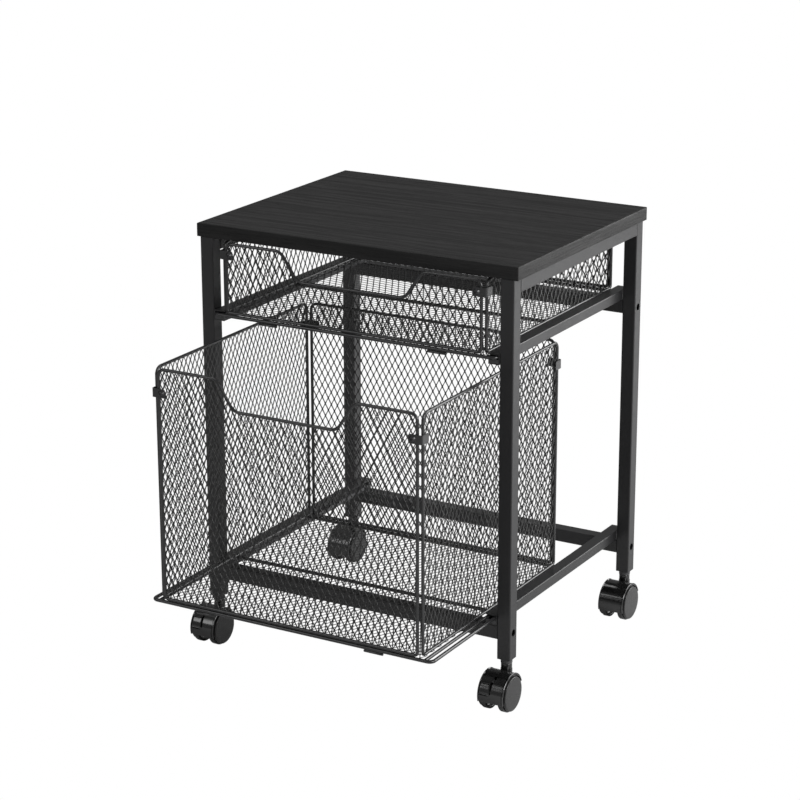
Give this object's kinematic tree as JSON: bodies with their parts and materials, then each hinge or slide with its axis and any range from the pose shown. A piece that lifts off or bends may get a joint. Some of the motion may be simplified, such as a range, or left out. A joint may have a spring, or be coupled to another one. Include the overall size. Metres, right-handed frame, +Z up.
{
  "type": "mobile printer stand",
  "caption": "Steel tube stand on swivel casters with a wooden top board and two sliding wire mesh drawers, a tall one for hanging files and a shallow one above it.",
  "frame": {"origin": "on the floor, midway between the four legs", "axes": "+X to the right, -Y to the front where the drawers open, +Z up"},
  "size_m": [0.4096, 0.4582, 0.494],
  "materials": {
    "board": "black wood grain laminate, satin",
    "frame_tube": "satin black powder coat",
    "drawer_wire": "satin black powder coat on round wire",
    "mesh": "satin black powder coat on expanded steel mesh",
    "fastener": "black oxide steel",
    "bright_steel": "zinc plated steel",
    "insert_plastic": "matte dark nylon",
    "caster_shell": "glossy black nylon",
    "caster_wheel": "satin black nylon"
  },
  "bodies": {
    "root": {"caster_stems": "bright_steel", "channel_strips": "insert_plastic", "frame_fasteners": "fastener", "leg_back_left": "frame_tube", "leg_back_right": "frame_tube", "leg_front_left": "frame_tube", "leg_front_right": "frame_tube", "leg_inserts": "insert_plastic", "lower_back_crossbar": "frame_tube", "lower_channel_left": "frame_tube", "lower_channel_right": "frame_tube", "lower_front_crossbar": "frame_tube", "top_board": "board", "top_rail_left": "frame_tube", "top_rail_right": "frame_tube", "upper_back_crossbar": "frame_tube", "upper_channel_left": "frame_tube", "upper_channel_right": "frame_tube"},
    "lower_drawer": {"lower_drawer_back_mesh": "mesh", "lower_drawer_back_wire": "drawer_wire", "lower_drawer_base_wires": "drawer_wire", "lower_drawer_clip_screws": "fastener", "lower_drawer_corner_clips": "drawer_wire", "lower_drawer_floor_mesh": "mesh", "lower_drawer_front_mesh": "mesh", "lower_drawer_front_wire": "drawer_wire", "lower_drawer_left_mesh": "mesh", "lower_drawer_left_wire": "drawer_wire", "lower_drawer_right_mesh": "mesh", "lower_drawer_right_wire": "drawer_wire"},
    "upper_drawer": {"upper_drawer_back_mesh": "mesh", "upper_drawer_back_wire": "drawer_wire", "upper_drawer_base_wires": "drawer_wire", "upper_drawer_clip_screws": "fastener", "upper_drawer_corner_clips": "drawer_wire", "upper_drawer_floor_mesh": "mesh", "upper_drawer_front_mesh": "mesh", "upper_drawer_front_wire": "drawer_wire", "upper_drawer_left_mesh": "mesh", "upper_drawer_left_wire": "drawer_wire", "upper_drawer_right_mesh": "mesh", "upper_drawer_right_wire": "drawer_wire"},
    "caster_front_left": {"caster_front_left_hood": "caster_shell", "caster_front_left_axle": "bright_steel"},
    "caster_front_left_wheel_left": {"caster_front_left_wheel_left": "caster_wheel"},
    "caster_front_left_wheel_right": {"caster_front_left_wheel_right": "caster_wheel"},
    "caster_front_left_brake_lever": {"caster_front_left_brake_lever": "caster_shell"},
    "caster_front_right": {"caster_front_right_hood": "caster_shell", "caster_front_right_axle": "bright_steel"},
    "caster_front_right_wheel_left": {"caster_front_right_wheel_left": "caster_wheel"},
    "caster_front_right_wheel_right": {"caster_front_right_wheel_right": "caster_wheel"},
    "caster_front_right_brake_lever": {"caster_front_right_brake_lever": "caster_shell"},
    "caster_back_left": {"caster_back_left_hood": "caster_shell", "caster_back_left_axle": "bright_steel"},
    "caster_back_left_wheel_left": {"caster_back_left_wheel_left": "caster_wheel"},
    "caster_back_left_wheel_right": {"caster_back_left_wheel_right": "caster_wheel"},
    "caster_back_right": {"caster_back_right_hood": "caster_shell", "caster_back_right_axle": "bright_steel"},
    "caster_back_right_wheel_left": {"caster_back_right_wheel_left": "caster_wheel"},
    "caster_back_right_wheel_right": {"caster_back_right_wheel_right": "caster_wheel"}
  },
  "joints": [
    {"name": "lower_drawer_slide", "type": "slide", "parent": "root", "child": "lower_drawer", "axis": [0, -1, 0], "range_m": [-0.134, 0.086]},
    {"name": "upper_drawer_slide", "type": "slide", "parent": "root", "child": "upper_drawer", "axis": [0, -1, 0], "range_m": [0, 0.22]},
    {"name": "caster_front_left_swivel", "type": "hinge", "parent": "root", "child": "caster_front_left", "pos_m": [-0.1875, -0.15, 0.045], "axis": [0, 0, 1], "continuous": true},
    {"name": "caster_front_left_wheel_left_spin", "type": "hinge", "parent": "caster_front_left", "child": "caster_front_left_wheel_left", "pos_m": [-0.1875, -0.1652, 0.0209], "axis": [1, 0, 0], "continuous": true},
    {"name": "caster_front_left_wheel_right_spin", "type": "hinge", "parent": "caster_front_left", "child": "caster_front_left_wheel_right", "pos_m": [-0.1875, -0.1652, 0.0209], "axis": [1, 0, 0], "continuous": true},
    {"name": "caster_front_left_brake_lever_tilt", "type": "hinge", "parent": "caster_front_left", "child": "caster_front_left_brake_lever", "pos_m": [-0.1954, -0.18758, 0.02405], "axis": [1, 0, 0], "range_deg": [0, 25]},
    {"name": "caster_front_right_swivel", "type": "hinge", "parent": "root", "child": "caster_front_right", "pos_m": [0.1875, -0.15, 0.045], "axis": [0, 0, 1], "continuous": true},
    {"name": "caster_front_right_wheel_left_spin", "type": "hinge", "parent": "caster_front_right", "child": "caster_front_right_wheel_left", "pos_m": [0.1875, -0.1652, 0.0209], "axis": [1, 0, 0], "continuous": true},
    {"name": "caster_front_right_wheel_right_spin", "type": "hinge", "parent": "caster_front_right", "child": "caster_front_right_wheel_right", "pos_m": [0.1875, -0.1652, 0.0209], "axis": [1, 0, 0], "continuous": true},
    {"name": "caster_front_right_brake_lever_tilt", "type": "hinge", "parent": "caster_front_right", "child": "caster_front_right_brake_lever", "pos_m": [0.1796, -0.18758, 0.02405], "axis": [1, 0, 0], "range_deg": [0, 25]},
    {"name": "caster_back_left_swivel", "type": "hinge", "parent": "root", "child": "caster_back_left", "pos_m": [-0.1875, 0.15, 0.045], "axis": [0, 0, 1], "continuous": true},
    {"name": "caster_back_left_wheel_left_spin", "type": "hinge", "parent": "caster_back_left", "child": "caster_back_left_wheel_left", "pos_m": [-0.1875, 0.1348, 0.0209], "axis": [1, 0, 0], "continuous": true},
    {"name": "caster_back_left_wheel_right_spin", "type": "hinge", "parent": "caster_back_left", "child": "caster_back_left_wheel_right", "pos_m": [-0.1875, 0.1348, 0.0209], "axis": [1, 0, 0], "continuous": true},
    {"name": "caster_back_right_swivel", "type": "hinge", "parent": "root", "child": "caster_back_right", "pos_m": [0.1875, 0.15, 0.045], "axis": [0, 0, 1], "continuous": true},
    {"name": "caster_back_right_wheel_left_spin", "type": "hinge", "parent": "caster_back_right", "child": "caster_back_right_wheel_left", "pos_m": [0.1875, 0.1348, 0.0209], "axis": [1, 0, 0], "continuous": true},
    {"name": "caster_back_right_wheel_right_spin", "type": "hinge", "parent": "caster_back_right", "child": "caster_back_right_wheel_right", "pos_m": [0.1875, 0.1348, 0.0209], "axis": [1, 0, 0], "continuous": true}
  ]
}
